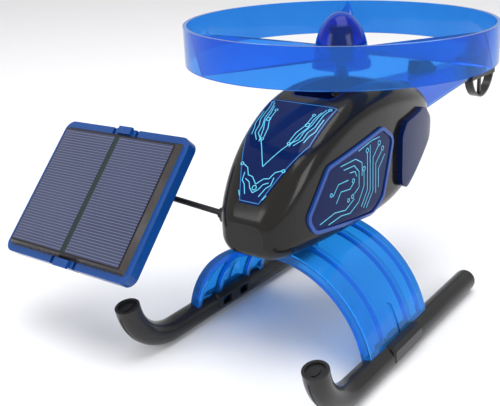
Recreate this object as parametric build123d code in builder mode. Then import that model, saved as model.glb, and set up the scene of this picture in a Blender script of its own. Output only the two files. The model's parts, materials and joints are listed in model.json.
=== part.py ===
from build123d import *

import os
from math import cos, degrees, radians, sin, sqrt

# Solar-powered toy helicopter: a hollow fuselage on a moulded arch and two skids, a ring rotor
# driven by a small motor, a tail boom with a little ring rotor, and a solar panel on an arm.
#
# The craft is drawn nose towards -Y, with the rotor's mast on the Z axis and the skids on z = 0.
# Its port side is +X. At export every piece is moved by the same amount, so that the origin lies
# at the bottom centre of the whole object's box. Millimetres throughout.

# ---------------------------------------------------------------- skids
SKID_X = 44.2
TUBE_R = 5.0
TUBE_WALL = 1.2
FOOT_FLAT = 0.15  # depth of the flat moulded along the underside
AXIS_Z = TUBE_R - FOOT_FLAT
SKID_REAR_Y = 36.4
BEND_Y = -67.5  # the straight run ends here and the bend begins
BEND_R = 24.0
BEND_TURN = 77.0  # degrees, so the nose end leans forward a little
NOSE_RISE = 2.5  # straight length beyond the bend
PLUG_RECESS = 0.9
PLUG_THICK = 1.6
CAP_LENGTH = 2.6
CAP_R = 4.8
SPIGOT_LENGTH = 5.0

# ---------------------------------------------------------------- landing arch
ARCH_R = 46.0
ARCH_Z = 0.4
ARCH_SHEET = 2.0
ARCH_RIB_DEPTH = 4.2
ARCH_RIB = 2.6
ARCH_FRONT_Y = -54.6
ARCH_REAR_Y = -7.0
ARCH_FOOT_Z = 7.0
SLIT_WIDTH = 1.2
SLIT_TOP_Z = 22.0
SADDLE_HALF = 5.3  # the skid is squared up where the arch plugs in
SADDLE_BOTTOM_Z = 2.2
SADDLE_TOP_Z = 10.2
SADDLE_Y = -30.8
SADDLE_LENGTH = 24.0
TAB_WIDTH = 8.0
TAB_THICK = 1.6
TAB_X = SKID_X - 0.4
TAB_BOTTOM_Z = 3.6
TAB_SPACING = 12.0

# ---------------------------------------------------------------- fuselage
BELLY_Z = 47.0
SHELL_WALL = 1.6
# cross-sections along Y: y, half width, bottom z, top z, corner radius
SECTIONS = [
    (-71.0, 8.6, 51.6, 62.5, 4.4),
    (-68.6, 12.4, 49.0, 67.6, 6.6),
    (-64.0, 15.4, 47.4, 73.6, 8.4),
    (-54.0, 18.2, BELLY_Z, 84.6, 9.0),
    (-40.0, 20.2, BELLY_Z, 94.4, 9.0),
    (-24.0, 21.6, BELLY_Z, 100.8, 9.0),
    (-4.0, 22.4, BELLY_Z, 103.0, 9.2),
    (16.0, 21.8, 48.6, 101.4, 9.6),
    (36.0, 19.6, 55.6, 96.6, 9.6),
    (50.0, 16.4, 63.6, 91.2, 8.6),
    (57.6, 12.4, 69.0, 86.4, 6.8),
    (60.6, 8.4, 72.4, 83.0, 4.4),
]
PANE_PROUD = 0.4
RIM_PROUD = 1.0
RIM_WIDTH = 1.5
POD_PROUD = 2.5
WINDOW_CORNER = 5.0
POD_CORNER = 5.0
# the windshield's half outline on its own sloping plane: half width, distance up the slope
WINDSHIELD = [(16.3, 24.4), (15.4, 2.4), (4.8, -25.0)]
WINDSHIELD_AT = (0, -48.0, 85.0)
WINDSHIELD_SLOPE = 37.4  # degrees
# side outlines as (y, z)
SIDE_WINDOW = [
    (-56.5, 62.4), (-52.5, 55.4), (-12.2, 50.2), (-4.0, 56.4), (4.6, 80.6), (-5.6, 87.6), (-44.0, 80.6)
]
REAR_POD = [(9.4, 79.6), (14.0, 84.6), (36.6, 86.4), (47.8, 78.0), (45.6, 70.0), (15.4, 54.2), (9.4, 57.4)]

# ---------------------------------------------------------------- deck, motor and mast
DECK_HALF = 11.5
DECK_FRONT_Y = -25.0
DECK_REAR_Y = 17.0
DECK_Z = 96.0
DECK_THICK = 1.6
MAST_R = 1.9
MAST_BOTTOM_Z = 92.9
MAST_TOP_Z = 118.0
MAST_CLEARANCE = 0.06
BUSH_R = 3.2
BUSH_BOTTOM_Z = 93.2
BUSH_TOP_Z = 98.4
MOTOR_R = 12.0
MOTOR_BOTTOM_Z = 72.4
MOTOR_TOP_Z = 90.2
MOTOR_BOSS_R = 3.0
BRACKET_THICK = 1.8
BRACKET_HALF = 18.0
BRACKET_LENGTH = 26.0
SHAFT_R = 1.0

# ---------------------------------------------------------------- main rotor
RING_R = 65.0
RING_WALL = 1.5
RING_BOTTOM_Z = 113.4
RING_TOP_Z = 129.0
BLADE_COUNT = 3
BLADE_START = 2.0  # degrees
BLADE_THICK = 1.3
HUB_R = 12.5
HUB_BOTTOM_Z = 109.4
HUB_FLOOR = 2.4
DRUM_R = 11.7
DRUM_TOP_Z = 119.4
HUB_WALL = 1.3
DOME_TOP_Z = 132.1
CORE_R = 4.95
CORE_TOP_Z = 126.0
SLEEVE_R = 3.2
SLEEVE_BOTTOM_Z = 105.4

# ---------------------------------------------------------------- tail
BOOM_ROOT_Y = 46.0
BOOM_ROOT = (9.6, 75.0, 94.6)  # half width, bottom z, top z
BOOM_TIP_Y = 141.0
BOOM_TIP = (3.7, 78.6, 88.8)
BOOM_WALL = 1.3
TAIL_X = -4.2
TAIL_Y = 166.3
TAIL_Z = 78.8
TAIL_R = 17.6
TAIL_WALL = 1.2
TAIL_BAND = 5.0
TAIL_HUB_R = 2.6
SPAR_WIDTH = 2.0
AXLE_R = 0.9
AXLE_CLEARANCE = 0.06

# ---------------------------------------------------------------- solar panel and its arm
PANEL_W = 76.8
PANEL_H = 63.4
PANEL_AT = (-74.7, -75.0, 61.4)
PANEL_EDGE = (0.998, -0.046, 0.043)
PANEL_NORMAL = (-0.063, -0.737, 0.673)
FRAME_BORDER = 3.0
FRAME_THICK = 4.6
FRAME_CORNER = 4.6
LEDGE = 2.2
LUG_HALF = 7.0
LUG_SLIT = 1.6
MODULE_PROUD = 2.5
MODULE_SEAT = 2.4  # depth of the module's seat below the frame's face
CELL_MARGIN = 2.2
CELL_THICK = 0.3
STRIP_WIDTH = 3.0
BACK_THICK = 1.6
KNUCKLE_DOWN = 10.6  # from the frame's face to the knuckle's axis
KNUCKLE_UP = 11.0
KNUCKLE_R = 2.5
KNUCKLE_LENGTH = 8.0
LUG_THICK = 2.6
PIN_R = 0.8
ARM_R = 1.2
SOCKET_AT = (-14.2, -59.6, 58.9)
SOCKET_R = 2.6
SOCKET_FLANGE_R = 3.5

SCREW_R = 1.25
SCREW_HEAD_R = 2.3
SCREW_HEAD = 1.6
BOSS_R = 3.3
SCREW_YZ = [(-47.0, 50.6), (26.0, 90.4), (30.0, 57.6)]
SCREW_HEAD_X = -15.0  # the heads sit at the bottom of pockets in the starboard shell

PIECES = []


def keep(builder, name):
    """Labels a finished piece and keeps it for export."""
    builder.part.label = name
    PIECES.append(builder.part)
    print(name, len(builder.part.solids()), round(builder.part.volume, 1), flush=True)


def across(y):
    """A plane across the craft at y: its axes are +X and +Z, and it faces -Y."""
    return Plane(origin=(0, y, 0), x_dir=(1, 0, 0), z_dir=(0, -1, 0))


def along(x):
    """A plane along the craft at x: its axes are +Y and +Z, and it faces +X."""
    return Plane(origin=(x, 0, 0), x_dir=(0, 1, 0), z_dir=(1, 0, 0))


def level(z):
    """A level plane at height z."""
    return Plane.XY.offset(z)


def fuselage_body(inset):
    """The fuselage's outer form, taken in by inset all round, or grown where inset is negative."""
    first, last = SECTIONS[0][0], SECTIONS[-1][0]
    with BuildPart() as body:
        for y, half_width, bottom, top, corner in SECTIONS:
            at = y
            if y == first:
                at = y + inset
            if y == last:
                at = y - inset
            height = top - bottom - 2 * inset
            with BuildSketch(across(at)):
                with Locations((0, (bottom + top) / 2)):
                    RectangleRounded(2 * (half_width - inset), height, corner - 0.6 * inset)
        loft()
    return body.part


OUTER = fuselage_body(0)
INNER = fuselage_body(SHELL_WALL)
MIDDLE = fuselage_body(SHELL_WALL / 2)
PANE_SKIN = fuselage_body(-PANE_PROUD)
RIM_SKIN = fuselage_body(-RIM_PROUD)
POD_SKIN = fuselage_body(-POD_PROUD)

slope = radians(WINDSHIELD_SLOPE)
WINDSHIELD_PLANE = Plane(origin=WINDSHIELD_AT, x_dir=(1, 0, 0), z_dir=(0, -sin(slope), cos(slope)))
windshield_outline = [(x, t) for x, t in WINDSHIELD]
windshield_outline += [(-x, t) for x, t in reversed(WINDSHIELD)]

with BuildPart() as windshield_prism:
    with BuildSketch(WINDSHIELD_PLANE.offset(-9)):
        Polygon(*windshield_outline, align=None)
        fillet(vertices(), 2.2)
    extrude(amount=24)

with BuildPart() as window_prism:
    with BuildSketch(along(9)):
        Polygon(*SIDE_WINDOW, align=None)
        fillet(vertices(), WINDOW_CORNER)
    extrude(amount=20)

with BuildPart() as pane_prism:
    with BuildSketch(along(9)):
        Polygon(*SIDE_WINDOW, align=None)
        fillet(vertices(), WINDOW_CORNER)
        offset(amount=-RIM_WIDTH)
    extrude(amount=20)

with BuildPart() as pod_prism:
    with BuildSketch(along(9)):
        Polygon(*REAR_POD, align=None)
        fillet(vertices(), POD_CORNER)
    extrude(amount=20)

with BuildPart() as deck_prism:
    with BuildSketch(level(DECK_Z - DECK_THICK)):
        with Locations((0, (DECK_FRONT_Y + DECK_REAR_Y) / 2)):
            RectangleRounded(2 * DECK_HALF, DECK_REAR_Y - DECK_FRONT_Y, 5)
    extrude(amount=14)

with BuildPart() as boom_prism:
    with BuildSketch(across(BOOM_ROOT_Y)):
        with Locations((0, (BOOM_ROOT[1] + BOOM_ROOT[2]) / 2)):
            RectangleRounded(2 * BOOM_ROOT[0], BOOM_ROOT[2] - BOOM_ROOT[1], 2.4)
    with BuildSketch(across(BOOM_TIP_Y)):
        with Locations((0, (BOOM_TIP[1] + BOOM_TIP[2]) / 2)):
            RectangleRounded(2 * BOOM_TIP[0], BOOM_TIP[2] - BOOM_TIP[1], 1.6)
    loft(ruled=True)

SOCKET = Vector(*SOCKET_AT)
PANEL_PLANE = Plane(origin=PANEL_AT, x_dir=PANEL_EDGE, z_dir=PANEL_NORMAL)
KNUCKLE = PANEL_PLANE.from_local_coords(Vector(0, KNUCKLE_UP, -KNUCKLE_DOWN))
ARM_AXIS = (KNUCKLE - SOCKET).normalized()
ARM_LENGTH = (KNUCKLE - SOCKET).length
SOCKET_PLANE = Plane(origin=SOCKET, z_dir=ARM_AXIS)
# the knuckle's axis runs up the panel
KNUCKLE_PLANE = Plane(origin=KNUCKLE, x_dir=PANEL_EDGE, z_dir=PANEL_PLANE.y_dir)

PRONG_X = 5.0
PRONG_THICK = 2.0
PRONG_LENGTH = 8.0
PRONG_Y = -30.8
HOOK = 0.8


def prong_solids(bottom, top):
    """The two upright prongs that lock the arch to the fuselage, from bottom to top."""
    with BuildPart() as prongs:
        with BuildSketch(level(bottom)):
            with Locations((-PRONG_X, PRONG_Y), (PRONG_X, PRONG_Y)):
                Rectangle(PRONG_THICK, PRONG_LENGTH)
        extrude(amount=top - bottom)
    return prongs.part


# ---------------------------------------------------------------- fuselage shells
with BuildPart() as hollow_body:
    add(OUTER)
    add(INNER, mode=Mode.SUBTRACT)
    add(windshield_prism.part, mode=Mode.SUBTRACT)
    add(window_prism.part, mode=Mode.SUBTRACT)
    mirror(window_prism.part, about=Plane.YZ, mode=Mode.SUBTRACT)
    add(pod_prism.part, mode=Mode.SUBTRACT)
    mirror(pod_prism.part, about=Plane.YZ, mode=Mode.SUBTRACT)

# ledges that carry the motor bracket, and bosses for the case screws
with BuildPart() as inner_posts:
    with BuildSketch(level(MOTOR_TOP_Z - 1.5)):
        with Locations((-19, 0), (19, 0)):
            Rectangle(8, BRACKET_LENGTH)
    extrude(amount=1.5)
    with BuildSketch(along(-24)):
        with Locations(*SCREW_YZ):
            Circle(BOSS_R)
    extrude(amount=48)
    add(MIDDLE, mode=Mode.INTERSECT)

with BuildPart() as screw_holes:
    with BuildSketch(along(-30)):
        with Locations(*SCREW_YZ):
            Circle(SCREW_R)
    extrude(amount=30 + 9)
    with BuildSketch(along(-30)):
        with Locations(*SCREW_YZ):
            Circle(SCREW_HEAD_R)
    extrude(amount=30 + SCREW_HEAD_X)

with BuildPart() as arm_bore:
    with BuildSketch(SOCKET_PLANE.offset(-6)):
        Circle(SOCKET_R)
    extrude(amount=16)

with BuildPart() as whole_body:
    add(hollow_body.part)
    add(inner_posts.part)
    add(screw_holes.part, mode=Mode.SUBTRACT)
    add(deck_prism.part, mode=Mode.SUBTRACT)
    add(boom_prism.part, mode=Mode.SUBTRACT)
    add(prong_solids(40, 55), mode=Mode.SUBTRACT)
    add(arm_bore.part, mode=Mode.SUBTRACT)

with BuildPart() as fuselage_port_shell:
    add(whole_body.part)
    split(bisect_by=Plane.YZ, keep=Keep.TOP)
keep(fuselage_port_shell, "fuselage_port_shell")

with BuildPart() as fuselage_starboard_shell:
    add(whole_body.part)
    split(bisect_by=Plane.YZ, keep=Keep.BOTTOM)
keep(fuselage_starboard_shell, "fuselage_starboard_shell")

with BuildPart() as case_screws:
    with BuildSketch(along(SCREW_HEAD_X - SCREW_HEAD)):
        with Locations(*SCREW_YZ):
            Circle(SCREW_HEAD_R)
    extrude(amount=SCREW_HEAD)
    with BuildSketch(along(SCREW_HEAD_X)):
        with Locations(*SCREW_YZ):
            Circle(SCREW_R)
    extrude(amount=8 - SCREW_HEAD_X)
keep(case_screws, "case_screws")

# ---------------------------------------------------------------- windows and rear pods
with BuildPart() as windshield:
    add(windshield_prism.part)
    add(PANE_SKIN, mode=Mode.INTERSECT)
    add(INNER, mode=Mode.SUBTRACT)
keep(windshield, "windshield")

with BuildPart() as port_window_rim:
    add(window_prism.part)
    add(pane_prism.part, mode=Mode.SUBTRACT)
    add(RIM_SKIN, mode=Mode.INTERSECT)
    add(INNER, mode=Mode.SUBTRACT)
keep(port_window_rim, "port_window_rim")

with BuildPart() as port_side_window:
    add(pane_prism.part)
    add(PANE_SKIN, mode=Mode.INTERSECT)
    add(INNER, mode=Mode.SUBTRACT)
keep(port_side_window, "port_side_window")

with BuildPart() as pod_hollow:
    with BuildSketch(along(9)):
        Polygon(*REAR_POD, align=None)
        fillet(vertices(), POD_CORNER)
        offset(amount=-1.5)
    extrude(amount=20)
    add(fuselage_body(1.4 - POD_PROUD), mode=Mode.INTERSECT)

with BuildPart() as port_rear_pod:
    add(pod_prism.part)
    add(POD_SKIN, mode=Mode.INTERSECT)
    add(INNER, mode=Mode.SUBTRACT)
    add(pod_hollow.part, mode=Mode.SUBTRACT)
keep(port_rear_pod, "port_rear_pod")

with BuildPart() as starboard_window_rim:
    mirror(port_window_rim.part, about=Plane.YZ)
keep(starboard_window_rim, "starboard_window_rim")

with BuildPart() as starboard_side_window:
    mirror(port_side_window.part, about=Plane.YZ)
keep(starboard_side_window, "starboard_side_window")

with BuildPart() as starboard_rear_pod:
    mirror(port_rear_pod.part, about=Plane.YZ)
keep(starboard_rear_pod, "starboard_rear_pod")

# ---------------------------------------------------------------- deck, motor and mast
with BuildPart() as deck_tray:
    add(deck_prism.part)
    add(OUTER, mode=Mode.INTERSECT)
    with BuildSketch(level(DECK_Z)):
        with Locations((0, (DECK_FRONT_Y + DECK_REAR_Y) / 2)):
            RectangleRounded(2 * DECK_HALF - 2.8, DECK_REAR_Y - DECK_FRONT_Y - 2.8, 3.6)
    extrude(amount=14, mode=Mode.SUBTRACT)
    with BuildSketch(level(DECK_Z)):
        Circle(BUSH_R)
    extrude(amount=-4, mode=Mode.SUBTRACT)
keep(deck_tray, "deck_tray")

with BuildPart() as mast_bush:
    with BuildSketch(level(BUSH_BOTTOM_Z)):
        Circle(BUSH_R)
        Circle(MAST_R + MAST_CLEARANCE, mode=Mode.SUBTRACT)
    extrude(amount=BUSH_TOP_Z - BUSH_BOTTOM_Z)
    with BuildSketch(level(DECK_Z)):
        Circle(BUSH_R + 1.4)
        Circle(MAST_R + MAST_CLEARANCE, mode=Mode.SUBTRACT)
    extrude(amount=1.2)
keep(mast_bush, "mast_bush")

with BuildPart() as motor_bracket:
    with BuildSketch(level(MOTOR_TOP_Z)):
        RectangleRounded(2 * BRACKET_HALF, BRACKET_LENGTH, 3)
        Circle(MOTOR_BOSS_R, mode=Mode.SUBTRACT)
        with Locations((-8, 0), (8, 0)):
            Circle(0.9, mode=Mode.SUBTRACT)
    extrude(amount=BRACKET_THICK)
keep(motor_bracket, "motor_bracket")

with BuildPart() as motor:
    with BuildSketch(level(MOTOR_BOTTOM_Z)):
        Circle(MOTOR_R)
    extrude(amount=MOTOR_TOP_Z - MOTOR_BOTTOM_Z)
    chamfer(edges().filter_by(GeomType.CIRCLE).sort_by(Axis.Z)[0], 1.0)
    with BuildSketch(level(MOTOR_TOP_Z)):
        Circle(MOTOR_BOSS_R)
    extrude(amount=BRACKET_THICK)
    with BuildSketch(level(MOTOR_BOTTOM_Z + 4)):
        Circle(SHAFT_R + MAST_CLEARANCE)
    extrude(amount=MOTOR_TOP_Z, mode=Mode.SUBTRACT)
    with BuildSketch(level(MOTOR_TOP_Z)):
        with Locations((-8, 0), (8, 0)):
            Circle(0.9)
    extrude(amount=-4, mode=Mode.SUBTRACT)
keep(motor, "motor")

with BuildPart() as motor_end_cap:
    with BuildSketch(level(MOTOR_BOTTOM_Z)):
        Circle(8.4)
    extrude(amount=-1.6)
    with BuildSketch(level(MOTOR_BOTTOM_Z - 1.6)):
        with Locations((-5, 0), (5, 0)):
            Rectangle(0.6, 2.4)
    extrude(amount=-3)
keep(motor_end_cap, "motor_end_cap")

with BuildPart() as motor_screws:
    with BuildSketch(level(MOTOR_TOP_Z - 4)):
        with Locations((-8, 0), (8, 0)):
            Circle(0.9)
    extrude(amount=4 + BRACKET_THICK)
    with BuildSketch(level(MOTOR_TOP_Z + BRACKET_THICK)):
        with Locations((-8, 0), (8, 0)):
            Circle(1.7)
    extrude(amount=1.1)
keep(motor_screws, "motor_screws")

with BuildPart() as motor_shaft:
    with BuildSketch(level(MOTOR_BOTTOM_Z + 4.2)):
        Circle(SHAFT_R)
    extrude(amount=100 - MOTOR_BOTTOM_Z - 4.2)
keep(motor_shaft, "motor_shaft")

with BuildPart() as mast:
    with BuildSketch(level(MAST_BOTTOM_Z)):
        Circle(MAST_R)
    extrude(amount=MAST_TOP_Z - MAST_BOTTOM_Z)
    with BuildSketch(level(MAST_BOTTOM_Z)):
        Circle(SHAFT_R)
    extrude(amount=100 - MAST_BOTTOM_Z, mode=Mode.SUBTRACT)
keep(mast, "mast")

# ---------------------------------------------------------------- main rotor
DOME_RISE = DOME_TOP_Z - HUB_BOTTOM_Z - HUB_FLOOR
HUB_TOP_Z = HUB_BOTTOM_Z + HUB_FLOOR

with BuildPart() as rotor_ring:
    with BuildSketch(level(RING_BOTTOM_Z)):
        Circle(RING_R)
        Circle(RING_R - RING_WALL, mode=Mode.SUBTRACT)
    extrude(amount=RING_TOP_Z - RING_BOTTOM_Z)
keep(rotor_ring, "rotor_ring")


def dome_radius(z):
    """The dome's outer radius at height z."""
    return DRUM_R * sqrt(1 - ((z - HUB_TOP_Z) / DOME_RISE) ** 2)


HUB_MID_Z = (HUB_TOP_Z + DRUM_TOP_Z) / 2
hub_wall_points = [(dome_radius(z), z) for z in (HUB_TOP_Z, HUB_MID_Z, DRUM_TOP_Z)]

# the hub: a sleeve, a flanged floor and the lower part of the hollow dome
with BuildPart() as rotor_hub:
    with BuildSketch(Plane.XZ):
        with BuildLine():
            Polyline(
                (MAST_R, SLEEVE_BOTTOM_Z),
                (SLEEVE_R, SLEEVE_BOTTOM_Z),
                (SLEEVE_R, HUB_BOTTOM_Z),
                (HUB_R, HUB_BOTTOM_Z),
                (HUB_R, HUB_TOP_Z),
                *hub_wall_points,
                *[(r - HUB_WALL, z) for r, z in reversed(hub_wall_points)],
                (MAST_R, HUB_TOP_Z),
                close=True,
            )
        make_face()
    revolve(axis=Axis.Z)
keep(rotor_hub, "rotor_hub")

# the hub's outer form, filled in, to trim the blades' roots
with BuildPart() as hub_solid:
    with BuildSketch(Plane.XZ):
        with BuildLine():
            Polyline(
                (0, HUB_BOTTOM_Z),
                (HUB_R, HUB_BOTTOM_Z),
                (HUB_R, HUB_TOP_Z),
                *hub_wall_points,
                (0, DRUM_TOP_Z),
                close=True,
            )
        make_face()
    revolve(axis=Axis.Z)

with BuildPart() as hub_dome:
    with BuildSketch(Plane.XZ):
        with Locations((0, HUB_TOP_Z)):
            Ellipse(DRUM_R, DOME_RISE)
            Ellipse(DRUM_R - HUB_WALL, DOME_RISE - HUB_WALL, mode=Mode.SUBTRACT)
        with Locations((10, DRUM_TOP_Z + 10)):
            Rectangle(20, 20, mode=Mode.INTERSECT)
    revolve(axis=Axis.Z)
keep(hub_dome, "hub_dome")

with BuildPart() as hub_core:
    with BuildSketch(level(HUB_TOP_Z)):
        Circle(CORE_R)
    extrude(amount=CORE_TOP_Z - HUB_TOP_Z)
    with BuildSketch(level(HUB_TOP_Z)):
        Circle(MAST_R)
    extrude(amount=MAST_TOP_Z - HUB_TOP_Z, mode=Mode.SUBTRACT)
keep(hub_core, "hub_core")

# one blade lies along +X: shallow at the hub, steep where it meets the ring
ring_height = RING_TOP_Z - RING_BOTTOM_Z
with BuildPart() as blade:
    root_plane = Plane(origin=(9, 0, 116.4), x_dir=(0, 1, 0), z_dir=(1, 0, 0))
    with BuildSketch(root_plane):
        Rectangle(13.0, BLADE_THICK, rotation=-17)
    mid_plane = Plane(origin=(38, 0, 119.0), x_dir=(0, 1, 0), z_dir=(1, 0, 0))
    with BuildSketch(mid_plane):
        Rectangle(15.5, BLADE_THICK, rotation=-38)
    tip_plane = Plane(origin=(66, 0, (RING_TOP_Z + RING_BOTTOM_Z) / 2), x_dir=(0, 1, 0), z_dir=(1, 0, 0))
    with BuildSketch(tip_plane):
        Rectangle(17.4, BLADE_THICK, rotation=-60.3)
    loft()
    with BuildSketch(level(RING_BOTTOM_Z)):
        Circle(RING_R - RING_WALL)
    extrude(amount=ring_height, mode=Mode.INTERSECT)
    add(hub_solid.part, mode=Mode.SUBTRACT)

with BuildPart() as rotor_blades:
    with PolarLocations(0, BLADE_COUNT, start_angle=BLADE_START):
        add(blade.part)
keep(rotor_blades, "rotor_blades")

# ---------------------------------------------------------------- tail boom and tail rotor
with BuildPart() as boom_hollow:
    with BuildSketch(across(BOOM_ROOT_Y - 0.1)):
        with Locations((0, (BOOM_ROOT[1] + BOOM_ROOT[2]) / 2)):
            RectangleRounded(
                2 * (BOOM_ROOT[0] - BOOM_WALL), BOOM_ROOT[2] - BOOM_ROOT[1] - 2 * BOOM_WALL, 1.4
            )
    with BuildSketch(across(BOOM_TIP_Y + 0.1)):
        with Locations((0, (BOOM_TIP[1] + BOOM_TIP[2]) / 2)):
            RectangleRounded(
                2 * (BOOM_TIP[0] - BOOM_WALL), BOOM_TIP[2] - BOOM_TIP[1] - 2 * BOOM_WALL, 0.8
            )
    loft(ruled=True)

with BuildPart() as tail_boom:
    add(boom_prism.part)
    add(boom_hollow.part, mode=Mode.SUBTRACT)
keep(tail_boom, "tail_boom")

with BuildPart() as boom_catch:
    with BuildSketch(along(-3)):
        Polygon((68, 88), (69.5, 99.6), (80, 98.4), (90, 93.0), (90, 88), align=None)
    extrude(amount=6)
    add(boom_prism.part, mode=Mode.SUBTRACT)
keep(boom_catch, "boom_catch")

with BuildPart() as tail_bracket:
    with BuildSketch(across(BOOM_TIP_Y + 2)):
        with Locations((0, 83.7)):
            RectangleRounded(11.2, 13.8, 2)
    extrude(amount=11)
    with BuildSketch(along(0.3)):
        Polygon((138, 90.4), (148, 89.2), (170.0, 81.8), (170.0, 75.8), (138, 77.0), align=None)
    extrude(amount=3.6)
    with BuildSketch(along(-0.8)):
        with Locations((TAIL_Y, TAIL_Z)):
            Circle(2.2)
    extrude(amount=1.1)
    add(boom_prism.part, mode=Mode.SUBTRACT)
    with BuildSketch(along(-2)):
        with Locations((TAIL_Y, TAIL_Z)):
            Circle(AXLE_R)
    extrude(amount=5, mode=Mode.SUBTRACT)
keep(tail_bracket, "tail_bracket")

HUB_HALF = 2.8
with BuildPart() as tail_axle:
    with BuildSketch(along(TAIL_X - HUB_HALF - 1.8)):
        with Locations((TAIL_Y, TAIL_Z)):
            Circle(AXLE_R)
    extrude(amount=3 - (TAIL_X - HUB_HALF - 1.8))
keep(tail_axle, "tail_axle")

with BuildPart() as axle_cap:
    with BuildSketch(along(TAIL_X - HUB_HALF - 0.3)):
        with Locations((TAIL_Y, TAIL_Z)):
            Circle(1.9)
            Circle(AXLE_R, mode=Mode.SUBTRACT)
    extrude(amount=-1.5)
keep(axle_cap, "axle_cap")

with BuildPart() as tail_rotor:
    with BuildSketch(along(TAIL_X - TAIL_BAND / 2)):
        with Locations((TAIL_Y, TAIL_Z)):
            Circle(TAIL_R)
            Circle(TAIL_R - TAIL_WALL, mode=Mode.SUBTRACT)
    extrude(amount=TAIL_BAND)
    with BuildSketch(along(TAIL_X - 0.9)):
        with Locations((TAIL_Y, TAIL_Z)):
            Rectangle(SPAR_WIDTH, 2 * TAIL_R - TAIL_WALL)
    extrude(amount=1.8)
    with BuildSketch(along(TAIL_X - HUB_HALF)):
        with Locations((TAIL_Y, TAIL_Z)):
            Circle(TAIL_HUB_R)
    extrude(amount=2 * HUB_HALF)
    with BuildSketch(along(TAIL_X - 5)):
        with Locations((TAIL_Y, TAIL_Z)):
            Circle(AXLE_R + AXLE_CLEARANCE)
    extrude(amount=10, mode=Mode.SUBTRACT)
keep(tail_rotor, "tail_rotor")

# ---------------------------------------------------------------- skids
turn = radians(BEND_TURN)
BEND_END = (BEND_Y - BEND_R * sin(turn), AXIS_Z + BEND_R * (1 - cos(turn)))
NOSE_END = (BEND_END[0] - NOSE_RISE * cos(turn), BEND_END[1] + NOSE_RISE * sin(turn))
NOSE_PLANE = Plane(
    origin=(SKID_X, NOSE_END[0], NOSE_END[1]), x_dir=(1, 0, 0), z_dir=(0, -cos(turn), sin(turn))
)

with BuildPart() as tube_solid:
    with BuildLine(along(SKID_X)):
        Line((SKID_REAR_Y, AXIS_Z), (BEND_Y, AXIS_Z))
        CenterArc((BEND_Y, AXIS_Z + BEND_R), BEND_R, 270, -BEND_TURN)
        Line(BEND_END, NOSE_END)
    with BuildSketch(Plane(origin=(SKID_X, SKID_REAR_Y, AXIS_Z), z_dir=(0, -1, 0))):
        Circle(TUBE_R)
    sweep()

with BuildPart() as tube_hollow:
    with BuildLine(along(SKID_X)):
        Line((SKID_REAR_Y, AXIS_Z), (BEND_Y, AXIS_Z))
        CenterArc((BEND_Y, AXIS_Z + BEND_R), BEND_R, 270, -BEND_TURN)
        Line(BEND_END, NOSE_END)
    with BuildSketch(Plane(origin=(SKID_X, SKID_REAR_Y, AXIS_Z), z_dir=(0, -1, 0))):
        Circle(TUBE_R - TUBE_WALL)
    sweep()

with BuildPart() as saddle_block:
    with BuildSketch(level(SADDLE_BOTTOM_Z)):
        with Locations((SKID_X, SADDLE_Y)):
            Rectangle(2 * SADDLE_HALF, SADDLE_LENGTH)
    extrude(amount=SADDLE_TOP_Z - SADDLE_BOTTOM_Z)
    chamfer(edges().filter_by(Axis.Y), 1.6)
    chamfer(edges().group_by(Axis.Y)[0], 0.8)
    chamfer(edges().group_by(Axis.Y)[-1], 0.8)

TAB_SPOTS = [(TAB_X, SADDLE_Y - TAB_SPACING / 2), (TAB_X, SADDLE_Y + TAB_SPACING / 2)]
WINDOW_SPOTS = [(y, 5.9) for x, y in TAB_SPOTS]

with BuildPart() as skid_port:
    add(tube_solid.part)
    add(saddle_block.part)
    add(tube_hollow.part, mode=Mode.SUBTRACT)
    # pockets for the arch's two tabs, and the windows their hooks catch in
    with BuildSketch(level(TAB_BOTTOM_Z)):
        with Locations(*TAB_SPOTS):
            Rectangle(TAB_THICK, TAB_WIDTH)
    extrude(amount=12, mode=Mode.SUBTRACT)
    with BuildSketch(along(SKID_X - 10)):
        with Locations(*WINDOW_SPOTS):
            Rectangle(5.6, 3.4)
    extrude(amount=9, mode=Mode.SUBTRACT)
    # the flat along the underside
    with BuildSketch(level(0)):
        with Locations((SKID_X, -20)):
            Rectangle(20, 200)
    extrude(amount=-2, mode=Mode.SUBTRACT)
    # the groove up the front of the bend
    with BuildLine(along(SKID_X)) as groove:
        CenterArc((BEND_Y, AXIS_Z + BEND_R), BEND_R + TUBE_R, 232, 38 - BEND_TURN)
    with BuildSketch(Plane(origin=groove.line @ 0, z_dir=groove.line % 0)):
        Circle(0.5)
    sweep(mode=Mode.SUBTRACT)
keep(skid_port, "skid_port")

with BuildPart() as nose_plug_port:
    with BuildSketch(NOSE_PLANE.offset(-PLUG_RECESS)):
        Circle(TUBE_R - TUBE_WALL)
    extrude(amount=-PLUG_THICK)
    with BuildSketch(NOSE_PLANE.offset(-PLUG_RECESS)):
        Ellipse(1.5, 2.5)
    extrude(amount=0.4)
keep(nose_plug_port, "nose_plug_port")

with BuildPart() as rear_cap_port:
    rear_plane = Plane(origin=(SKID_X, SKID_REAR_Y, AXIS_Z), z_dir=(0, 1, 0))
    with BuildSketch(rear_plane.offset(0.5)):
        Circle(CAP_R)
    extrude(amount=CAP_LENGTH - 0.5)
    fillet(edges().filter_by(GeomType.CIRCLE).sort_by(Axis.Y)[-1], 1.5)
    with BuildSketch(rear_plane):
        Circle(CAP_R - 0.7)
    extrude(amount=0.5)
    with BuildSketch(rear_plane):
        Circle(TUBE_R - TUBE_WALL)
    extrude(amount=-SPIGOT_LENGTH)
keep(rear_cap_port, "rear_cap_port")

with BuildPart() as skid_starboard:
    mirror(skid_port.part, about=Plane.YZ)
keep(skid_starboard, "skid_starboard")

with BuildPart() as nose_plug_starboard:
    mirror(nose_plug_port.part, about=Plane.YZ)
keep(nose_plug_starboard, "nose_plug_starboard")

with BuildPart() as rear_cap_starboard:
    mirror(rear_cap_port.part, about=Plane.YZ)
keep(rear_cap_starboard, "rear_cap_starboard")

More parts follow.
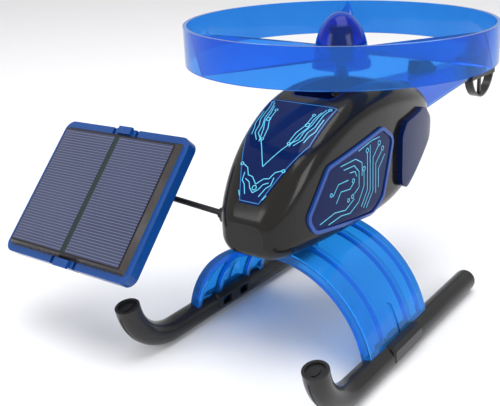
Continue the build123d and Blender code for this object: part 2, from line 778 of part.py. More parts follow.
# ---------------------------------------------------------------- landing arch
ARCH_WIDTH = ARCH_REAR_Y - ARCH_FRONT_Y
rib_depth = ARCH_R - ARCH_SHEET - (ARCH_RIB_DEPTH - ARCH_SHEET)


def arch_band(outer, inner, rear_y, width):
    """A half ring across the craft, from rear_y towards the nose."""
    with BuildPart() as band:
        with BuildSketch(across(rear_y)):
            with Locations((0, ARCH_Z)):
                Circle(outer)
                Circle(inner, mode=Mode.SUBTRACT)
            with Locations((0, ARCH_FOOT_Z + 30)):
                Rectangle(120, 60, mode=Mode.INTERSECT)
        extrude(amount=width)
    return band.part


with BuildPart() as skid_blanks:
    add(tube_solid.part)
    add(saddle_block.part)
    mirror(tube_solid.part, about=Plane.YZ)
    mirror(saddle_block.part, about=Plane.YZ)

with BuildPart() as tabs:
    with BuildSketch(level(TAB_BOTTOM_Z)):
        with Locations(*TAB_SPOTS):
            Rectangle(TAB_THICK, TAB_WIDTH)
    extrude(amount=SADDLE_TOP_Z - TAB_BOTTOM_Z)
    # the hooks that catch in the skid's windows
    with BuildSketch(along(TAB_X - TAB_THICK / 2)):
        with Locations(*[(y, 5.0) for y, z in WINDOW_SPOTS]):
            Rectangle(4.8, 1.4)
    extrude(amount=-1.2)

with BuildPart() as landing_arch:
    add(arch_band(ARCH_R, ARCH_R - ARCH_SHEET, ARCH_REAR_Y, ARCH_WIDTH))
    for fraction in (0.0, 0.245, 0.70, 1.0):
        rear = ARCH_REAR_Y - fraction * (ARCH_WIDTH - ARCH_RIB)
        add(arch_band(ARCH_R - ARCH_SHEET, rib_depth, rear, ARCH_RIB))
    # one slit up from each foot
    with BuildSketch(across(SADDLE_Y + SLIT_WIDTH / 2)):
        with Locations((-SKID_X, SLIT_TOP_Z - 10), (SKID_X, SLIT_TOP_Z - 10)):
            Rectangle(14, 20)
    extrude(amount=SLIT_WIDTH, mode=Mode.SUBTRACT)
    add(skid_blanks.part, mode=Mode.SUBTRACT)
    add(prong_solids(40, 55), mode=Mode.SUBTRACT)
    add(tabs.part)
    mirror(tabs.part, about=Plane.YZ)
keep(landing_arch, "landing_arch")

with BuildPart() as arch_solid:
    with BuildSketch(across(0)):
        with Locations((0, ARCH_Z)):
            Circle(ARCH_R)
    extrude(amount=70)

with BuildPart() as belly_clip:
    with BuildSketch(level(40)):
        with Locations((0, PRONG_Y)):
            RectangleRounded(15, 14, 2)
    extrude(amount=BELLY_Z - 40)
    add(arch_solid.part, mode=Mode.SUBTRACT)
    add(OUTER, mode=Mode.SUBTRACT)
    add(prong_solids(ARCH_R + ARCH_Z - 5.2, BELLY_Z + 3.6))
    for side in (-1, 1):
        with BuildSketch(level(BELLY_Z + SHELL_WALL + 0.1)):
            with Locations((side * (PRONG_X + PRONG_THICK / 2 + HOOK / 2), PRONG_Y)):
                Rectangle(HOOK, PRONG_LENGTH)
        extrude(amount=1.2)
        with BuildSketch(level(ARCH_R + ARCH_Z - 5.2)):
            with Locations((side * (PRONG_X + PRONG_THICK / 2 + HOOK / 2), PRONG_Y)):
                Rectangle(HOOK, PRONG_LENGTH)
        extrude(amount=1.2)
keep(belly_clip, "belly_clip")

# ---------------------------------------------------------------- solar panel
SEAT_W = PANEL_W - 2 * FRAME_BORDER
SEAT_H = PANEL_H - 2 * FRAME_BORDER

with BuildPart() as panel_frame:
    with BuildSketch(PANEL_PLANE):
        RectangleRounded(PANEL_W, PANEL_H, FRAME_CORNER)
    extrude(amount=-FRAME_THICK)
    with BuildSketch(PANEL_PLANE):
        Rectangle(SEAT_W, SEAT_H)
    extrude(amount=-MODULE_SEAT, mode=Mode.SUBTRACT)
    with BuildSketch(PANEL_PLANE):
        Rectangle(SEAT_W - 2 * LEDGE, SEAT_H - 2 * LEDGE)
    extrude(amount=-FRAME_THICK, mode=Mode.SUBTRACT)
    # slits either side of a springy lug in the middle of the top and bottom edges
    with BuildSketch(PANEL_PLANE):
        with GridLocations(2 * LUG_HALF, PANEL_H - FRAME_BORDER, 2, 2):
            Rectangle(LUG_SLIT, FRAME_BORDER)
    extrude(amount=-FRAME_THICK, mode=Mode.SUBTRACT)
    with BuildSketch(PANEL_PLANE):
        with GridLocations(0, PANEL_H - 2.2, 1, 2):
            Rectangle(8, 3.4)
    extrude(amount=1.2)
keep(panel_frame, "panel_frame")

with BuildPart() as solar_module:
    with BuildSketch(PANEL_PLANE.offset(-MODULE_SEAT)):
        Rectangle(SEAT_W, SEAT_H)
    extrude(amount=MODULE_SEAT)
    with BuildSketch(PANEL_PLANE) as module_face:
        Rectangle(SEAT_W, SEAT_H)
    extrude(amount=MODULE_PROUD, taper=30)
keep(solar_module, "solar_module")

CELL_W = (SEAT_W - 2 * CELL_MARGIN - STRIP_WIDTH) / 2
CELL_H = SEAT_H - 2 * CELL_MARGIN
with BuildPart() as solar_cells:
    with BuildSketch(PANEL_PLANE.offset(MODULE_PROUD)):
        with GridLocations(CELL_W + STRIP_WIDTH, 0, 2, 1):
            Rectangle(CELL_W, CELL_H)
    extrude(amount=CELL_THICK)
keep(solar_cells, "solar_cells")

with BuildPart() as cell_link_strip:
    with BuildSketch(PANEL_PLANE.offset(MODULE_PROUD)):
        Rectangle(STRIP_WIDTH, CELL_H)
    extrude(amount=CELL_THICK - 0.1)
keep(cell_link_strip, "cell_link_strip")

LUG_OUT = KNUCKLE_LENGTH / 2 + 0.35
BACK_DEPTH = FRAME_THICK - BACK_THICK
with BuildPart() as panel_back:
    with BuildSketch(PANEL_PLANE.offset(-BACK_DEPTH)):
        Rectangle(SEAT_W - 2 * LEDGE, SEAT_H - 2 * LEDGE)
    extrude(amount=-BACK_THICK)
    for start in (LUG_OUT, -LUG_OUT - LUG_THICK):
        with BuildSketch(KNUCKLE_PLANE.offset(start)):
            Circle(KNUCKLE_R)
            with Locations((0, -(KNUCKLE_DOWN - FRAME_THICK) / 2)):
                Rectangle(2 * KNUCKLE_R, KNUCKLE_DOWN - FRAME_THICK)
        extrude(amount=LUG_THICK)
    with BuildSketch(KNUCKLE_PLANE.offset(-10)):
        Circle(PIN_R)
    extrude(amount=20, mode=Mode.SUBTRACT)
keep(panel_back, "panel_back")

with BuildPart() as knuckle_pin:
    with BuildSketch(KNUCKLE_PLANE.offset(-LUG_OUT - LUG_THICK)):
        Circle(PIN_R)
    extrude(amount=2 * (LUG_OUT + LUG_THICK))
    with BuildSketch(KNUCKLE_PLANE.offset(LUG_OUT + LUG_THICK)):
        Circle(PIN_R + 0.7)
    extrude(amount=0.8)
keep(knuckle_pin, "knuckle_pin")

# ---------------------------------------------------------------- panel arm and its socket
with BuildPart() as panel_arm:
    with BuildSketch(SOCKET_PLANE.offset(-7)):
        Circle(ARM_R)
    extrude(amount=7 + ARM_LENGTH)
    with BuildSketch(SOCKET_PLANE.offset(4.6)):
        Circle(ARM_R + 1.0)
    extrude(amount=1.6)
    with BuildSketch(KNUCKLE_PLANE.offset(-KNUCKLE_LENGTH / 2)):
        Circle(KNUCKLE_R)
    extrude(amount=KNUCKLE_LENGTH)
    with BuildSketch(KNUCKLE_PLANE.offset(-KNUCKLE_LENGTH / 2)):
        Circle(PIN_R + 0.06)
    extrude(amount=KNUCKLE_LENGTH, mode=Mode.SUBTRACT)
keep(panel_arm, "panel_arm")

with BuildPart() as arm_retainer:
    with BuildSketch(SOCKET_PLANE.offset(-4.4)):
        Circle(ARM_R + 1.0)
        Circle(ARM_R, mode=Mode.SUBTRACT)
    extrude(amount=-1.2)
keep(arm_retainer, "arm_retainer")

with BuildPart() as arm_socket:
    with BuildSketch(SOCKET_PLANE.offset(0.6)):
        Circle(SOCKET_FLANGE_R)
    extrude(amount=3.6)
    add(OUTER, mode=Mode.SUBTRACT)
    with BuildSketch(SOCKET_PLANE.offset(-4.1)):
        Circle(SOCKET_R)
    extrude(amount=8.3)
    with BuildSketch(SOCKET_PLANE.offset(-5)):
        Circle(ARM_R + 0.06)
    extrude(amount=12, mode=Mode.SUBTRACT)
keep(arm_socket, "arm_socket")

# ---------------------------------------------------------------- export
low = [min(piece.bounding_box().min.to_tuple()[i] for piece in PIECES) for i in range(3)]
high = [max(piece.bounding_box().max.to_tuple()[i] for piece in PIECES) for i in range(3)]
SHIFT = (-(low[0] + high[0]) / 2, -(low[1] + high[1]) / 2, -low[2])

os.makedirs("parts", exist_ok=True)
for piece in PIECES:
    moved = Pos(*SHIFT) * piece
    moved.label = piece.label
    export_step(moved, "parts/" + piece.label + ".step")
    print(piece.label, piece.is_valid, len(piece.solids()), round(piece.volume, 1))

print("arm axis", [round(v, 6) for v in ARM_AXIS.to_tuple()], end=" ")
print("knuckle", [round(v, 4) for v in KNUCKLE.to_tuple()], end=" ")
print("up", [round(v, 6) for v in PANEL_PLANE.y_dir.to_tuple()])
print("size", [round(high[i] - low[i], 2) for i in range(3)], "shift", [round(v, 3) for v in SHIFT])
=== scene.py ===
# %% [markdown]
# # A solar helicopter kit, finished in Blender
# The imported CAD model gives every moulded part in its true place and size. This lesson adds what
# a CAD part can't carry: the finish of each plastic, the printed circuit lines on the windows, the
# fine silver fingers on the solar cells, the floor, the lights and the camera.

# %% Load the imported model
import json
import math
import bpy
import bmesh
from mathutils import Matrix, Vector
from mathutils.bvhtree import BVHTree


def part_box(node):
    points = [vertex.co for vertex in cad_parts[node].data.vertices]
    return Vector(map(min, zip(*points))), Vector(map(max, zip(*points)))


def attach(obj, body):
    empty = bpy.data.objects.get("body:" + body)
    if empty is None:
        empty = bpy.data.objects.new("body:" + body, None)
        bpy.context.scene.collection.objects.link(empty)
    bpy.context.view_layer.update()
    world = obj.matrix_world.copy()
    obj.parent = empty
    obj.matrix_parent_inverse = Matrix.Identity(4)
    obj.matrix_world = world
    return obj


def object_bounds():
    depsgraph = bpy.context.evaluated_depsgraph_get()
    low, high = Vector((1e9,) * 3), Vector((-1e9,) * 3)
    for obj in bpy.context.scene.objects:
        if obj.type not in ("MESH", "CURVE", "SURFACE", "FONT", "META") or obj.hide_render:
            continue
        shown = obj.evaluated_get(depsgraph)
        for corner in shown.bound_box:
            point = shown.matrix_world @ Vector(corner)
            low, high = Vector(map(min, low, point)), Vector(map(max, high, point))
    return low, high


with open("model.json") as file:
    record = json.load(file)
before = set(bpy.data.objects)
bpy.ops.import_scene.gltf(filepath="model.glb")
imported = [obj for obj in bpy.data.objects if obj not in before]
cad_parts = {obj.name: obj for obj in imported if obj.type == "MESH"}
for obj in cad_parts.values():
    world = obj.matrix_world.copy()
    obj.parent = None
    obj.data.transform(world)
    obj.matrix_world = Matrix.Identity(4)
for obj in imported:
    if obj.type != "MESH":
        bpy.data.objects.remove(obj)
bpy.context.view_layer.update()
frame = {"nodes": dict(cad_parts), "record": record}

MM = 0.001
nodes = frame["nodes"]
record = frame["record"]

# %% [markdown]
# Materials are built from nodes. Each one here starts with a noise, which gives every point a grey
# value between about 0.3 and 0.7. The noise uses the part's own coordinates, so that it stays put
# when the part moves. Two small helpers then turn the grey value into a number or into a colour.

# %% Helpers for node materials
def add_noise(tree, scale, detail=3.0):
    """A noise in the part's own coordinates."""
    place = tree.nodes.new("ShaderNodeTexCoord")
    noise = tree.nodes.new("ShaderNodeTexNoise")
    noise.inputs["Scale"].default_value = scale
    noise.inputs["Detail"].default_value = detail
    tree.links.new(place.outputs["Object"], noise.inputs["Vector"])
    return noise.outputs["Fac"]


def spread(tree, source, low, high):
    """Maps a noise to the range low to high."""
    span = tree.nodes.new("ShaderNodeMapRange")
    span.inputs["From Min"].default_value = 0.3
    span.inputs["From Max"].default_value = 0.7
    span.inputs["To Min"].default_value = low
    span.inputs["To Max"].default_value = high
    tree.links.new(source, span.inputs["Value"])
    return span.outputs["Result"]


def tint(tree, source, dark, light):
    """Blends two colours by a noise."""
    mix = tree.nodes.new("ShaderNodeMix")
    mix.data_type = "RGBA"
    mix.inputs["A"].default_value = (*dark, 1)
    mix.inputs["B"].default_value = (*light, 1)
    tree.links.new(source, mix.inputs["Factor"])
    return mix.outputs["Result"]


print("noise helpers ready")

# %% [markdown]
# A moulded finish needs two noises. The broad one varies the colour and the gloss, as handling does
# on a real toy. The fine one is a bump, because moulded plastic is never perfectly flat. A clear
# plastic lets some light through, and its base colour tints that light each time it passes a wall.

# %% A helper for moulded plastic and metal
BROAD_SCALE = 60.0
FINE_SCALE = 900.0
CLEAR_IOR = 1.25  # thin clear walls bend light less than a solid block would
SOLID_IOR = 1.5


def moulded(name, dark, light, gloss, clear=0.0, bump=0.06, metal=0.0, shine=0.5):
    """A finish between two near colours; gloss is the range of roughness."""
    finish = bpy.data.materials.new(name)
    finish.use_nodes = True
    tree = finish.node_tree
    shader = tree.nodes["Principled BSDF"]
    broad = add_noise(tree, BROAD_SCALE)
    tree.links.new(tint(tree, broad, dark, light), shader.inputs["Base Color"])
    tree.links.new(spread(tree, broad, *gloss), shader.inputs["Roughness"])
    shader.inputs["Metallic"].default_value = metal
    shader.inputs["Transmission Weight"].default_value = clear
    shader.inputs["Specular IOR Level"].default_value = shine
    shader.inputs["IOR"].default_value = CLEAR_IOR if clear else SOLID_IOR
    relief = tree.nodes.new("ShaderNodeBump")
    relief.inputs["Strength"].default_value = bump
    relief.inputs["Distance"].default_value = 0.2 * MM
    tree.links.new(add_noise(tree, FINE_SCALE, 2.0), relief.inputs["Height"])
    tree.links.new(relief.outputs["Normal"], shader.inputs["Normal"])
    return finish


print("finish helper ready")

# %% [markdown]
# Black plastic is never pure black. The glossy shells are the darkest and smoothest, the skids are
# a little greyer, and the small hub, arm and tail fittings have a satin surface.

# %% Black plastics
FINISHES = {
    "shell_black": moulded(
        "gloss_black_shell", (0.007, 0.006, 0.006), (0.011, 0.010, 0.009), (0.12, 0.20), shine=0.26
    ),
    "skid_black": moulded(
        "gloss_dark_skid", (0.012, 0.012, 0.012), (0.020, 0.019, 0.019), (0.15, 0.25), shine=0.30
    ),
    "black_matte": moulded(
        "satin_black", (0.007, 0.007, 0.008), (0.013, 0.013, 0.014), (0.32, 0.44), shine=0.30
    ),
}
print("black plastics", len(FINISHES))

# %% [markdown]
# The rotor, arch and boom are clear blue, so most of the light goes through them. The windows and
# pods are a dark navy that only hints at the inside. The dome over the hub is the clearest, and the
# black core shows through it.

# %% Clear and blue plastics
FINISHES["clear_blue"] = moulded(
    "clear_bright_blue", (0.020, 0.32, 0.90), (0.030, 0.37, 0.97), (0.04, 0.09), clear=0.80
)
FINISHES["clear_royal"] = moulded(
    "clear_royal_blue", (0.030, 0.26, 0.82), (0.045, 0.31, 0.88), (0.04, 0.09), clear=0.84
)
FINISHES["clear_navy"] = moulded(
    "clear_navy_window", (0.003, 0.012, 0.080), (0.006, 0.020, 0.115), (0.05, 0.10),
    clear=0.30, shine=0.28,
)
FINISHES["rim_blue"] = moulded(
    "light_blue_rim", (0.006, 0.045, 0.24), (0.010, 0.065, 0.32), (0.12, 0.20), shine=0.4
)
FINISHES["frame_blue"] = moulded(
    "gloss_frame_blue", (0.003, 0.045, 0.20), (0.005, 0.060, 0.26), (0.16, 0.28), shine=0.35
)
DOME = moulded(
    "deep_blue_dome", (0.020, 0.10, 0.66), (0.030, 0.14, 0.76), (0.03, 0.06), clear=0.92
)
print("finishes so far", len(FINISHES) + 1)

# %% [markdown]
# What is left is the board under the solar cells, the strip between them, and the fittings inside.
# A metal has Metallic at one, and its base colour is then the colour of its reflections.

# %% Boards, metals and the white inner parts
FINISHES["module_black"] = moulded(
    "resin_board", (0.010, 0.007, 0.006), (0.020, 0.014, 0.012), (0.20, 0.36), shine=0.3
)
FINISHES["strip_green"] = moulded(
    "green_board", (0.006, 0.018, 0.017), (0.010, 0.026, 0.024), (0.25, 0.4), shine=0.3
)
FINISHES["motor_steel"] = moulded(
    "motor_can_steel", (0.45, 0.45, 0.46), (0.6, 0.6, 0.61), (0.28, 0.4), metal=1.0
)
FINISHES["steel"] = moulded(
    "bright_steel", (0.5, 0.5, 0.52), (0.66, 0.66, 0.68), (0.18, 0.3), metal=1.0
)
FINISHES["bearing_brass"] = moulded(
    "bronze_bush", (0.36, 0.22, 0.08), (0.5, 0.32, 0.13), (0.25, 0.4), metal=1.0
)
FINISHES["inner_plastic"] = moulded(
    "white_inner_moulding", (0.6, 0.6, 0.62), (0.72, 0.72, 0.74), (0.35, 0.5)
)
print("finishes so far", len(FINISHES) + 1)

# %% [markdown]
# A solar cell is a dark silicon sheet with silver fingers printed across it. The fingers are far too
# thin to model one by one, so they are a repeating line in the shader. The line needs a distance up
# the panel: the dot product of a point with the panel's own up direction gives that. Dividing by the
# pitch and keeping the fraction makes it repeat.

# %% The repeating line
joints = {joint["name"]: joint for joint in record["behaviour"]["joints"]}
PANEL_UP = Vector(joints["panel_swing"]["axis"]).normalized()
FINGER_PITCH = 1.22 * MM
FINGER_EDGE = (0.70, 0.86)  # where in each pitch the silver fades in


def finger_mask(tree):
    """Near one on a finger and zero between the fingers."""
    place = tree.nodes.new("ShaderNodeTexCoord")
    up = tree.nodes.new("ShaderNodeVectorMath")
    up.operation = "DOT_PRODUCT"
    up.inputs[1].default_value = PANEL_UP
    tree.links.new(place.outputs["Object"], up.inputs[0])
    turns = tree.nodes.new("ShaderNodeMath")
    turns.operation = "MULTIPLY"
    turns.inputs[1].default_value = 1 / FINGER_PITCH
    tree.links.new(up.outputs["Value"], turns.inputs[0])
    part = tree.nodes.new("ShaderNodeMath")
    part.operation = "FRACT"
    tree.links.new(turns.outputs["Value"], part.inputs[0])
    line = tree.nodes.new("ShaderNodeMapRange")
    line.interpolation_type = "SMOOTHSTEP"
    line.inputs["From Min"].default_value = FINGER_EDGE[0]
    line.inputs["From Max"].default_value = FINGER_EDGE[1]
    tree.links.new(part.outputs["Value"], line.inputs["Value"])
    return line.outputs["Result"]


print("panel up", [round(v, 3) for v in PANEL_UP])

# %% [markdown]
# The cell's own colour is a dark blue that a noise makes a little uneven, and the mask mixes the
# silver over it. A thin coat stands for the clear resin that covers the cells.

# %% The solar cells' finish
SILICON = ((0.014, 0.020, 0.060), (0.026, 0.036, 0.095))
SILVER = (0.110, 0.125, 0.22, 1)


def cell_finish():
    """Dark blue silicon with fine silver fingers along the panel's long side."""
    finish = bpy.data.materials.new("silicon_cell")
    finish.use_nodes = True
    tree = finish.node_tree
    shader = tree.nodes["Principled BSDF"]
    noise = add_noise(tree, 45.0, 4.0)
    mix = tree.nodes.new("ShaderNodeMix")
    mix.data_type = "RGBA"
    mix.inputs["B"].default_value = SILVER
    tree.links.new(tint(tree, noise, *SILICON), mix.inputs["A"])
    tree.links.new(finger_mask(tree), mix.inputs["Factor"])
    tree.links.new(mix.outputs["Result"], shader.inputs["Base Color"])
    tree.links.new(spread(tree, noise, 0.24, 0.36), shader.inputs["Roughness"])
    shader.inputs["Coat Weight"].default_value = 0.25
    shader.inputs["Coat Roughness"].default_value = 0.12
    return finish


FINISHES["cell_blue"] = cell_finish()
print("finger pitch", round(FINGER_PITCH / MM, 2), "mm")

# %% [markdown]
# Each CAD part keeps its mesh and only changes its material. The record says which slot every part
# uses, so the finishes can be handed out in one loop. The dome alone has a finish of its own.

# %% Hand out the finishes
for part in record["subparts"]:
    piece = nodes[part["node"]]
    finish = DOME if part["node"] == "hub_dome" else FINISHES[part["material_slot"]]
    if piece.material_slots:
        for holder in piece.material_slots:
            holder.material = finish
    else:
        piece.data.materials.append(finish)
print("parts finished", len(record["subparts"]))

# %% [markdown]
# The windows carry printed circuit lines in light cyan. A printed line follows the curved window,
# so each is drawn flat and then dropped onto the window, one short step at a time. A ray tells where
# a step lands, and which way the window faces there.

# %% Drop a flat line onto a part
STEP = 1.2 * MM
LINE_LIFT = 0.06 * MM  # keeps the ink clear of the window's own surface
RAY_START = 0.05
RAY_LENGTH = 0.1


def finder(node):
    """A ray finder for one part's mesh."""
    mesh = nodes[node].data
    spots = [vertex.co.copy() for vertex in mesh.vertices]
    return BVHTree.FromPolygons(spots, [tuple(face.vertices) for face in mesh.polygons])


def drop(tree, spot, way):
    """The point and normal where a ray from outside, going along way, first meets the part."""
    hit, normal, _, _ = tree.ray_cast(spot - way * RAY_START, way, RAY_LENGTH)
    if hit is None:
        return None
    if normal.dot(way) > 0:
        normal = -normal
    return hit + normal * LINE_LIFT, normal


def line_track(tree, points, to_space, way):
    """Drops a zigzag onto a part, in short steps."""
    track = []
    for start, end in zip(points, points[1:]):
        a, b = to_space(start), to_space(end)
        steps = max(2, int((b - a).length / STEP))
        for n in range(steps + (end == points[-1])):
            found = drop(tree, a.lerp(b, n / steps), way)
            if found:
                track.append(found)
    return track


print("step", round(STEP / MM, 2), "mm")

# %% [markdown]
# A dropped line is only a row of points. A ribbon gives it width: each point gets one vertex on the
# left and one on the right, square to the line and to the window's normal.

# %% Give a line its width
def ribbon(mesh, track, width):
    """Lays one ribbon of the given width along a track of points and normals."""
    previous = None
    for index, (spot, normal) in enumerate(track):
        ahead = track[min(index + 1, len(track) - 1)][0] - track[max(index - 1, 0)][0]
        side = ahead.cross(normal)
        if side.length < 1e-9:
            continue
        side = side.normalized() * (width / 2)
        pair = (mesh.verts.new(spot - side), mesh.verts.new(spot + side))
        if previous:
            mesh.faces.new((previous[0], previous[1], pair[1], pair[0]))
        previous = pair


def pad_ring(centre, size):
    """The outline of a round pad, in twelve steps."""
    turns = [t * math.pi / 6 for t in range(13)]
    return [(centre[0] + size * math.cos(t), centre[1] + size * math.sin(t)) for t in turns]


print("corners in a pad", len(pad_ring((0, 0), 1)) - 1)

# %% [markdown]
# All the lines and pads of one window become one mesh.

# %% Print a whole window
INK = moulded("cyan_print", (0.09, 0.52, 0.76), (0.13, 0.62, 0.86), (0.3, 0.4))
# The edge colour is a painted highlight along the windshield's edge, not print.
EDGE_HIGHLIGHT = moulded("painted_edge_highlight", (0.012, 0.13, 0.36), (0.018, 0.17, 0.44), (0.3, 0.4))
LINE_WIDTH = 0.33 * MM
EDGE_WIDTH = 0.36 * MM
LINE_THICKNESS = 0.05 * MM


def print_and_highlight_on(name, node, lines, pads, to_space, way, width=LINE_WIDTH, ink_and_highlight=INK):
    """Prints lines and ring-shaped pads on a window, and also lays the painted edge highlight, as
    one thin piece that rides with it.
    """
    tree = finder(node)
    mesh = bmesh.new()
    for points in lines + [pad_ring(centre, size) for centre, size in pads]:
        track = line_track(tree, points, to_space, way)
        if len(track) > 1:
            ribbon(mesh, track, width)
    data = bpy.data.meshes.new(name)
    mesh.to_mesh(data)
    mesh.free()
    data.materials.append(ink_and_highlight)
    piece = bpy.data.objects.new(name, data)
    bpy.context.scene.collection.objects.link(piece)
    body = piece.modifiers.new("line_thickness", "SOLIDIFY")
    body.thickness = LINE_THICKNESS
    body.offset = 1
    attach(piece, "airframe")
    print(name, len(data.polygons), "faces")
    return piece


# %% [markdown]
# The craft's own coordinates make the windows easy to draw on: the mast is at zero, the nose is
# towards minus Y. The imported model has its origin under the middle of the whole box, so a small
# helper turns craft millimetres into model metres. The mast part itself gives the difference.

# %% Craft millimetres to model metres
mast_low, mast_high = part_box("mast")
MAST = Vector(((mast_low[0] + mast_high[0]) / 2, (mast_low[1] + mast_high[1]) / 2, 0))


def craft(x, y, z):
    """A point in craft millimetres, as the model has it."""
    return MAST + Vector((x, y, z)) * MM


print("mast at", [round(v, 4) for v in MAST])

# %% [markdown]
# The windshield slopes, so its print is drawn in the slope's own plane and dropped square to it.
# A point is a distance across, and a distance up the slope from the plane's middle.

# %% The windshield's own plane
SLOPE = math.radians(37.4)
SLOPE_UP = Vector((0, math.cos(SLOPE), math.sin(SLOPE)))
SLOPE_IN = Vector((0, math.sin(SLOPE), -math.cos(SLOPE)))
SLOPE_MIDDLE = (-48.0, 85.0)  # along the craft, and up


def on_windshield(point):
    """A point on the slope's plane."""
    return craft(point[0], *SLOPE_MIDDLE) + SLOPE_UP * (point[1] * MM)


print("slope", round(math.degrees(SLOPE), 1), "degrees")

# %% [markdown]
# The windshield's print is the same on both halves. One side is drawn, and the other is the same
# list with x turned round. Each pad is a centre and a radius.

# %% The windshield's print
HALF_LINES = [
    [(0, -10), (4.5, -2), (6.5, 1), (9.5, 4), (9.8, 8), (11.2, 12), (11.4, 17), (12.4, 21.5)],
    [(7.0, 0.2), (8.4, 6.5), (10.2, 10.5), (10.2, 15), (11.2, 19.5)],
    [(8.6, 0.8), (11.2, 4.2), (11.4, 8), (12.8, 11.2), (12.9, 18), (13.6, 21)],
    [(6.0, 2.6), (6.6, 7.0), (8.6, 11.5), (8.8, 16.5)],
    [(12.2, 3.0), (12.9, 6.4), (14.0, 9.0), (14.2, 16.0)],
    [(0, -17.2), (2.6, -14.6), (4.8, -14.2), (6.4, -11.4), (9.0, -10.2)],
    [(0, -20.6), (2.0, -19.0), (3.2, -16.8), (5.4, -15.8)],
    [(3.2, -21.6), (5.0, -18.0), (6.6, -16.6), (6.8, -13.4)],
    [(5.2, -22.6), (6.4, -20.6)],
]
HALF_PADS = [
    ((0.0, -18.6), 0.9), ((9.2, 11.8), 0.9), ((9.6, -10.2), 0.6),
    ((8.9, 17.4), 0.6), ((13.7, 21.8), 0.6), ((6.2, 1.6), 0.6),
]
lines = HALF_LINES + [[(-x, t) for x, t in line] for line in HALF_LINES]
pads = HALF_PADS + [((-spot[0], spot[1]), size) for spot, size in HALF_PADS if spot[0]]
print_and_highlight_on("windshield_print", "windshield", lines, pads, on_windshield, SLOPE_IN)

# %% [markdown]
# A darker line runs round the windshield, just inside its edge. It is a painted highlight, where
# light catches the windshield's edge. It is drawn the same way as the print, with its own colour,
# and ends where it starts.

# %% The windshield's painted edge highlight
EDGE = [
    (15.6, 23.4), (14.8, 2.4), (4.4, -24.2), (-4.4, -24.2), (-14.8, 2.4), (-15.6, 23.4), (15.6, 23.4)
]
# A painted highlight, laid as a line along the windshield's edge.
print_and_highlight_on(
    "windshield_painted_edge_highlight", "windshield", [EDGE], [], on_windshield, SLOPE_IN, EDGE_WIDTH, EDGE_HIGHLIGHT
)

# %% [markdown]
# The side windows have a broader layout, with parallel tracks that fan out from the lower rear
# corner. Points are given along the craft and up. Both sides carry the same print, mirrored.

# %% The side windows' layout
SIDE_LINES = [
    [(-49, 58.5), (-40, 60.5), (-33, 59.5), (-27, 62.5)],
    [(-44, 56.8), (-36, 58.0), (-30, 57.2), (-24, 60.0), (-20, 66.0), (-20, 72.0)],
    [(-39, 64.0), (-36, 68.0), (-30, 67.4), (-27, 69.6)],
    [(-41, 67.5), (-37.5, 71.5), (-31, 71.5)],
    [(-22, 57.5), (-17.5, 63.5), (-17.5, 79.0)],
    [(-20.4, 56.4), (-15.4, 62.6), (-15.4, 82.0)],
    [(-18.4, 55.8), (-13.2, 61.8), (-13.2, 76.0), (-9.0, 80.0)],
    [(-11.0, 60.0), (-11.0, 73.0), (-6.4, 77.0)],
    [(-8.8, 62.0), (-8.8, 70.0), (-3.6, 75.0)],
    [(-34, 76.4), (-27, 76.4), (-23.6, 73.0), (-23.6, 66.5), (-27.0, 64.5)],
    [(-36, 78.4), (-26, 78.8), (-21.4, 76.2), (-21.4, 70.5)],
    [(-30, 74.2), (-26.4, 73.8), (-25.2, 71.4)],
    [(-24, 81.6), (-14.0, 83.6), (-8.0, 83.6)],
]
SIDE_PADS = [
    ((-27.6, 70.2), 0.8), ((-20.0, 73.2), 0.9), ((-17.5, 80.2), 0.9), ((-8.2, 81.0), 1.0),
    ((-5.4, 78.0), 0.9), ((-42, 68.4), 0.7), ((-28.2, 63.8), 0.8), ((-31, 63), 0.7),
]
print("side lines", len(SIDE_LINES), "pads", len(SIDE_PADS))

# %% [markdown]
# The layout starts on a flat plane a little inside the window, and the rays come in from outside,
# square to that plane. Their direction turns round from one side to the other.

# %% The side windows' prints
SIDE_PLANE = 18
for side, name in ((1, "port"), (-1, "starboard")):

    def on_side(point, side=side):
        return craft(SIDE_PLANE * side, point[0], point[1])

    inwards = Vector((-1, 0, 0)) * side
    print_and_highlight_on(name + "_window_print", name + "_side_window", SIDE_LINES, SIDE_PADS, on_side, inwards)

# %% [markdown]
# The stage is a pale sweep: a floor that curves up into a wall behind, so that no edge shows.

# %% The floor
REACH = 14.0
WALL_AT = 2.2
BEND = 1.2
BEND_STEPS = 12
WALL_TOP = 9.0
FLOOR_DROP = 0.0003
low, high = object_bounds()
turns = [step * math.pi / (2 * BEND_STEPS) for step in range(1, BEND_STEPS + 1)]
profile = [(-REACH, 0.0), (WALL_AT, 0.0)]
profile += [(WALL_AT + BEND * math.sin(t), BEND - BEND * math.cos(t)) for t in turns]
profile += [(WALL_AT + BEND, WALL_TOP)]
sweep = bmesh.new()
left = [sweep.verts.new((-REACH, y, z - FLOOR_DROP)) for y, z in profile]
right = [sweep.verts.new((REACH, y, z - FLOOR_DROP)) for y, z in profile]
for n in range(len(profile) - 1):
    sweep.faces.new((left[n], right[n], right[n + 1], left[n + 1]))
floor_mesh = bpy.data.meshes.new("floor")
sweep.to_mesh(floor_mesh)
sweep.free()
for face in floor_mesh.polygons:
    face.use_smooth = True
PALE = ((0.86, 0.86, 0.87), (0.88, 0.88, 0.89))
floor_mesh.materials.append(moulded("pale_floor", *PALE, (0.6, 0.7), bump=0.0))
floor = bpy.data.objects.new("floor", floor_mesh)
bpy.context.scene.collection.objects.link(floor)
print("floor faces", len(floor_mesh.polygons), "craft's lowest point", round(low[2], 4))

# %% [markdown]
# The light is soft and even. A pale world lights everything from all round, and gives the black
# plastic something to mirror. One big lamp above makes the soft shadow.

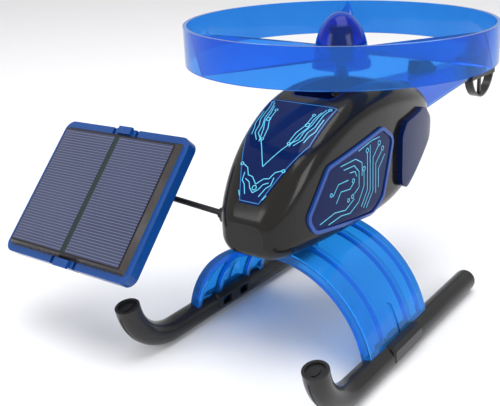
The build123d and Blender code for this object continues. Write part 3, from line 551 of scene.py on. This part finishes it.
# %% The lights
world = bpy.data.worlds.new("studio")
bpy.context.scene.world = world
world.use_nodes = True
world.node_tree.nodes["Background"].inputs["Color"].default_value = (1.0, 1.0, 1.0, 1)
world.node_tree.nodes["Background"].inputs["Strength"].default_value = 0.80
bpy.context.scene.view_settings.view_transform = "Standard"
middle = (Vector(low) + Vector(high)) / 2
# name, place from the craft's middle, size in metres, watts
LAMPS = [
    ("top_lamp", (0.10, -0.10, 0.95), 0.8, 7.5),
    ("port_lamp", (0.85, -0.35, 0.45), 0.4, 2.5),
    ("nose_lamp", (-0.45, -0.95, 0.50), 0.4, 2.0),
]
for name, place, size, power in LAMPS:
    lamp = bpy.data.lights.new(name, "AREA")
    lamp.shape = "SQUARE"
    lamp.size = size
    lamp.energy = power
    holder = bpy.data.objects.new(name, lamp)
    holder.location = middle + Vector(place)
    holder.rotation_euler = (middle - holder.location).to_track_quat("-Z", "Y").to_euler()
    bpy.context.scene.collection.objects.link(holder)
print("lamps", len(LAMPS))

# %% [markdown]
# The camera stands off the port bow and looks down a little, close enough for some perspective. A
# small lens shift frames the craft, so that the upright lines keep the lean that they should have.
# Azimuth, pitch and roll become three directions: ahead, to the right and above.

# %% The camera's directions
azimuth, pitch, roll = (math.radians(v) for v in (33.001, 18.627, -1.104))
level = Vector((-math.sin(azimuth), math.cos(azimuth), 0))
ahead = level * math.cos(pitch) - Vector((0, 0, math.sin(pitch)))
across = Vector((math.cos(azimuth), math.sin(azimuth), 0))
above = across.cross(ahead)
rolled_across = across * math.cos(roll) + above * math.sin(roll)
rolled_above = above * math.cos(roll) - across * math.sin(roll)
facing = Matrix((rolled_across, rolled_above, -ahead)).transposed()
print("looking", [round(v, 3) for v in ahead])

# %% [markdown]
# The three directions are the columns of the camera's rotation. A camera looks along its own minus
# Z, so the third column is the opposite of ahead.

# %% The camera
lens = bpy.data.cameras.new("camera")
lens.sensor_width = 36.0
lens.lens = 58.542
lens.shift_x = -0.14
lens.shift_y = -0.065
lens.clip_start = 0.01
lens.clip_end = 50
camera = bpy.data.objects.new("camera", lens)
camera.rotation_mode = "QUATERNION"
camera.location = craft(176.57, -290.08, 177.42)
camera.rotation_quaternion = facing.to_quaternion()
bpy.context.scene.collection.objects.link(camera)
bpy.context.scene.camera = camera
print("camera", [round(v, 3) for v in camera.location])
